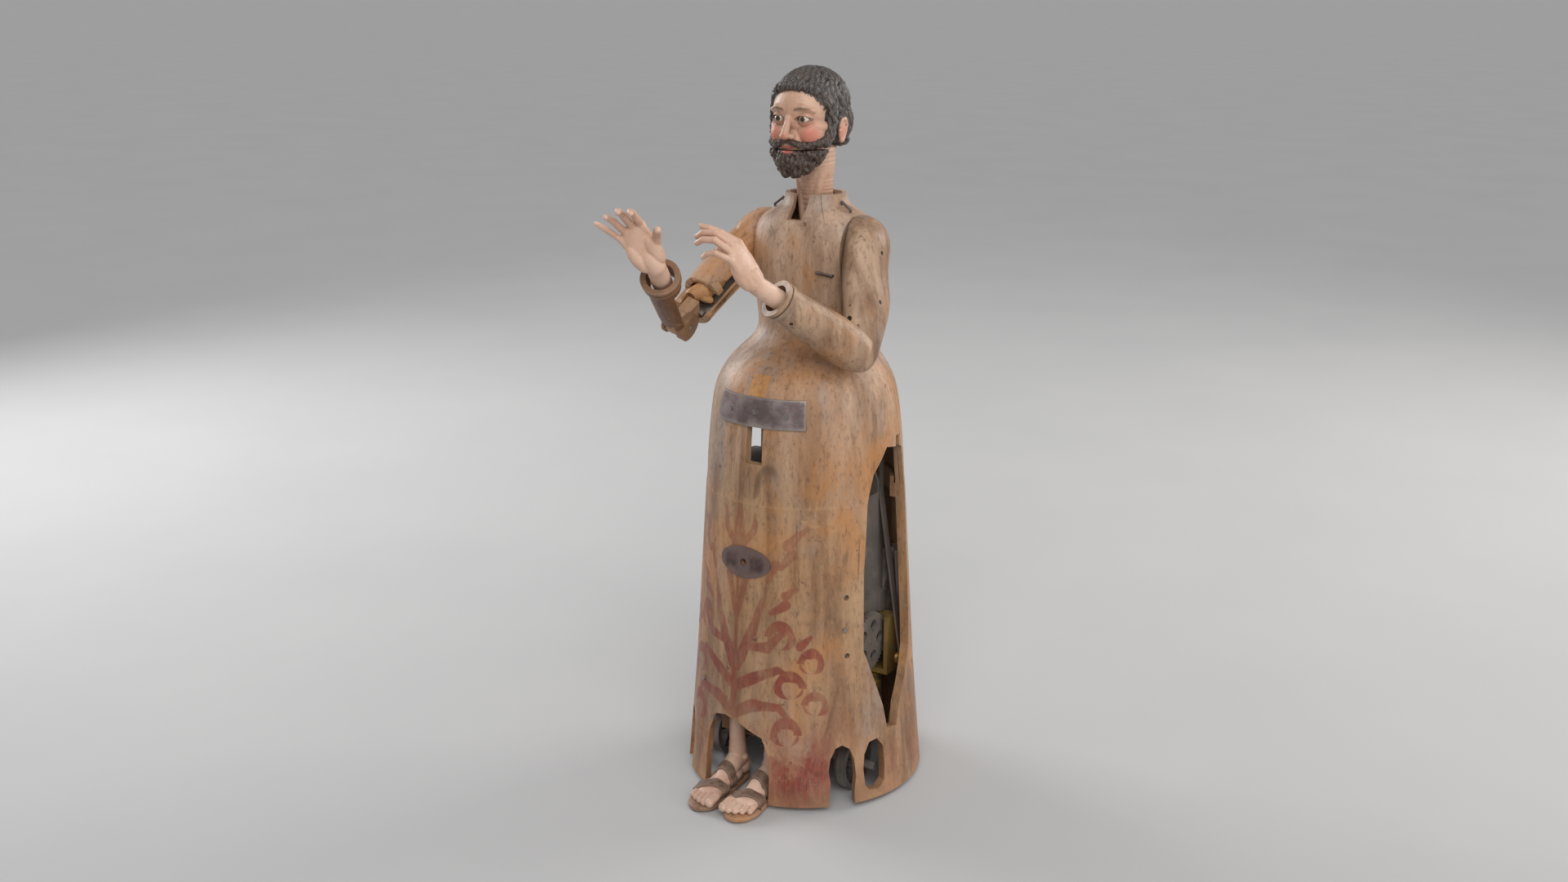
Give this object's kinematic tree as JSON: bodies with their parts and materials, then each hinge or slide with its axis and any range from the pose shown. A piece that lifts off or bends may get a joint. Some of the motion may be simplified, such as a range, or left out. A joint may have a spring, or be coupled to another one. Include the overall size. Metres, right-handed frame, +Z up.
{
  "type": "monk automaton",
  "caption": "Carved wooden friar figure on hidden wheels with a spring movement that rolls it, steps its feet, lifts its arms, nods and turns its head and opens its mouth",
  "frame": {"origin": "Centre of the bounding box at the floor under the wheels", "axes": "+Z up, the figure faces -Y, its own left is +X"},
  "size_m": [0.1356, 0.2038, 0.4],
  "materials": {
    "carved_wood": "worn stained timber with painted foliage at the hem",
    "fresh_wood": "newer unpainted repair timber",
    "iron": "dark wrought iron, rubbed",
    "steel": "bare turned steel",
    "brass": "aged brass",
    "flesh_paint": "carved and painted flesh colour",
    "head_paint": "carved head, flesh paint with dark hair",
    "beard_paint": "carved beard, dark brown paint",
    "sleeve_wood": "stained timber sleeve",
    "eye_glass": "polished painted ball",
    "foot_paint": "carved foot with painted sandal"
  },
  "bodies": {
    "figure": {"torso_shell": "carved_wood", "skirt_shell": "carved_wood", "hip_strap": "iron", "body_nails": "iron", "keyhole_plate": "iron", "waist_patch": "fresh_wood", "shoulder_ties": "iron", "movement_plate_left": "iron", "movement_plate_right": "iron", "movement_pillars": "iron", "movement_cap": "iron", "side_strap": "iron", "brass_screws": "brass", "fly_cock": "brass", "lower_cock": "brass", "lever_rod": "steel", "neck_guide": "carved_wood", "rear_bar": "iron", "foot_guide": "carved_wood", "wall_brackets": "iron"},
    "drive": {"drive_axle": "steel", "drive_wheel_left": "iron", "drive_wheel_right": "iron", "axle_gear": "iron"},
    "idler": {"idler_gear": "iron"},
    "barrel": {"spring_barrel": "iron", "great_wheel": "brass", "mainspring": "steel"},
    "winding": {"winding_arbor": "steel"},
    "click_arm": {"click": "steel"},
    "second": {"second_arbor": "steel", "side_wheel": "iron"},
    "fly_set": {"fly": "steel"},
    "cam_set": {"camshaft": "steel", "cam_gear": "brass", "cams": "iron"},
    "right_lever": {"right_arm_lever": "iron"},
    "left_lever": {"left_arm_lever": "iron"},
    "nod_lever": {"head_lever": "iron"},
    "right_rod": {"right_arm_rod": "iron"},
    "left_rod": {"left_arm_rod": "iron"},
    "nod_link": {"nod_rod": "iron"},
    "right_arm_set": {"right_upper_arm": "sleeve_wood", "right_shoulder_axle": "steel"},
    "right_fore": {"right_forearm": "sleeve_wood", "right_hand": "flesh_paint"},
    "left_arm_set": {"left_arm": "sleeve_wood", "left_shoulder_axle": "steel", "left_hand": "flesh_paint"},
    "neck": {"neck_post": "steel"},
    "head_set": {"head": "head_paint"},
    "jaw_set": {"jaw": "beard_paint"},
    "left_eye_ball": {"left_eye": "eye_glass"},
    "right_eye_ball": {"right_eye": "eye_glass"},
    "left_foot_set": {"left_foot": "foot_paint"},
    "right_foot_set": {"right_foot": "foot_paint"},
    "steering": {"steer_fork": "iron"},
    "steer_roll_set": {"steer_wheel": "iron"}
  },
  "joints": [
    {"name": "barrel_spin", "type": "hinge", "parent": "figure", "child": "barrel", "pos_m": [0, 0.04215, 0.107], "axis": [1, 0, 0], "continuous": true},
    {"name": "second_spin", "type": "hinge", "parent": "figure", "child": "second", "pos_m": [0, 0.03757, 0.081], "axis": [1, 0, 0], "continuous": true},
    {"name": "idler_spin", "type": "hinge", "parent": "figure", "child": "idler", "pos_m": [0, 0.03123, 0.05168], "axis": [1, 0, 0], "continuous": true},
    {"name": "drive_spin", "type": "hinge", "parent": "figure", "child": "drive", "pos_m": [0, 0.01815, 0.016], "axis": [1, 0, 0], "continuous": true},
    {"name": "fly_spin", "type": "hinge", "parent": "figure", "child": "fly_set", "pos_m": [0, 0.05569, 0.07255], "axis": [1, 0, 0], "continuous": true},
    {"name": "cam_spin", "type": "hinge", "parent": "figure", "child": "cam_set", "pos_m": [0, 0.02226, 0.13985], "axis": [1, 0, 0], "continuous": true},
    {"name": "winding_turn", "type": "hinge", "parent": "figure", "child": "winding", "pos_m": [0, 0.04215, 0.107], "axis": [1, 0, 0], "continuous": true},
    {"name": "click_lift", "type": "hinge", "parent": "figure", "child": "click_arm", "pos_m": [-0.0364, 0.02915, 0.117], "axis": [-1, 0, 0], "range_deg": [0, 15], "stiffness_Nm_per_rad": 0.002, "springref_deg": -11.46},
    {"name": "right_shoulder", "type": "hinge", "parent": "figure", "child": "right_arm_set", "pos_m": [-0.036, 0.04015, 0.305], "axis": [-1, 0, 0], "range_deg": [0, 20]},
    {"name": "left_shoulder", "type": "hinge", "parent": "figure", "child": "left_arm_set", "pos_m": [0.036, 0.04015, 0.305], "axis": [-1, 0, 0], "range_deg": [0, 20]},
    {"name": "right_elbow", "type": "hinge", "parent": "right_arm_set", "child": "right_fore", "pos_m": [-0.042, -0.02735, 0.2685], "axis": [-0.932, -0.1066, 0.3465], "range_deg": [-10, 20]},
    {"name": "right_lever_rock", "type": "hinge", "parent": "figure", "child": "right_lever", "pos_m": [-0.017, 0.03715, 0.155], "axis": [-1, 0, 0], "range_deg": [0, 15]},
    {"name": "left_lever_rock", "type": "hinge", "parent": "figure", "child": "left_lever", "pos_m": [0.017, 0.03715, 0.155], "axis": [-1, 0, 0], "range_deg": [0, 15]},
    {"name": "nod_lever_rock", "type": "hinge", "parent": "figure", "child": "nod_lever", "pos_m": [0, 0.03715, 0.155], "axis": [-1, 0, 0], "range_deg": [0, 4]},
    {"name": "right_rod_pull", "type": "slide", "parent": "figure", "child": "right_rod", "axis": [0, 0, -1], "range_m": [0, 0.0026]},
    {"name": "left_rod_pull", "type": "slide", "parent": "figure", "child": "left_rod", "axis": [0, 0, -1], "range_m": [0, 0.0026]},
    {"name": "neck_turn", "type": "hinge", "parent": "figure", "child": "neck", "pos_m": [0, 0.04415, 0.2], "axis": [0, 0, 1], "range_deg": [-18, 18]},
    {"name": "head_nod", "type": "hinge", "parent": "neck", "child": "head_set", "pos_m": [0, 0.04415, 0.318], "axis": [-1, 0, 0], "range_deg": [0, 8]},
    {"name": "nod_rod_pull", "type": "slide", "parent": "neck", "child": "nod_link", "axis": [0, 0, -1], "range_m": [0, 0.0009]},
    {"name": "jaw_open", "type": "hinge", "parent": "head_set", "child": "jaw_set", "pos_m": [0, 0.04015, 0.366], "axis": [1, 0, 0], "range_deg": [0, 6], "stiffness_Nm_per_rad": 0.02, "springref_deg": -11.46},
    {"name": "left_eye_roll", "type": "hinge", "parent": "head_set", "child": "left_eye_ball", "pos_m": [0.0075, 0.01985, 0.373], "axis": [0, 0, 1], "range_deg": [-20, 20]},
    {"name": "right_eye_roll", "type": "hinge", "parent": "head_set", "child": "right_eye_ball", "pos_m": [-0.0075, 0.01985, 0.373], "axis": [0, 0, 1], "range_deg": [-20, 20]},
    {"name": "left_step", "type": "slide", "parent": "figure", "child": "left_foot_set", "axis": [0, 1, 0], "range_m": [-0.005, 0.005]},
    {"name": "right_step", "type": "slide", "parent": "figure", "child": "right_foot_set", "axis": [0, 1, 0], "range_m": [-0.005, 0.005]},
    {"name": "steer_swivel", "type": "hinge", "parent": "figure", "child": "steering", "pos_m": [0, 0.07615, 0.025], "axis": [0, 0, 1], "range_deg": [-25, 25]},
    {"name": "steer_roll", "type": "hinge", "parent": "steering", "child": "steer_roll_set", "pos_m": [0, 0.07615, 0.009], "axis": [1, 0, 0], "continuous": true}
  ],
  "couplings": [
    {"joint": "second_spin", "follows": "barrel_spin", "ratio": -5.6},
    {"joint": "idler_spin", "follows": "barrel_spin", "ratio": 0.86154},
    {"joint": "drive_spin", "follows": "barrel_spin", "ratio": -1.8667},
    {"joint": "fly_spin", "follows": "barrel_spin", "ratio": 29.4},
    {"joint": "cam_spin", "follows": "barrel_spin", "ratio": -1.4},
    {"joint": "right_lever_rock", "follows": "right_shoulder", "ratio": 0.7},
    {"joint": "right_rod_pull", "follows": "right_shoulder", "m_per_rad": 0.007},
    {"joint": "left_lever_rock", "follows": "left_shoulder", "ratio": 0.7},
    {"joint": "left_rod_pull", "follows": "left_shoulder", "m_per_rad": 0.007},
    {"joint": "nod_lever_rock", "follows": "head_nod", "ratio": 0.47},
    {"joint": "nod_rod_pull", "follows": "head_nod", "m_per_rad": 0.0062},
    {"joint": "right_eye_roll", "follows": "left_eye_roll", "ratio": 1},
    {"joint": "right_step", "follows": "left_step", "ratio": -1}
  ]
}
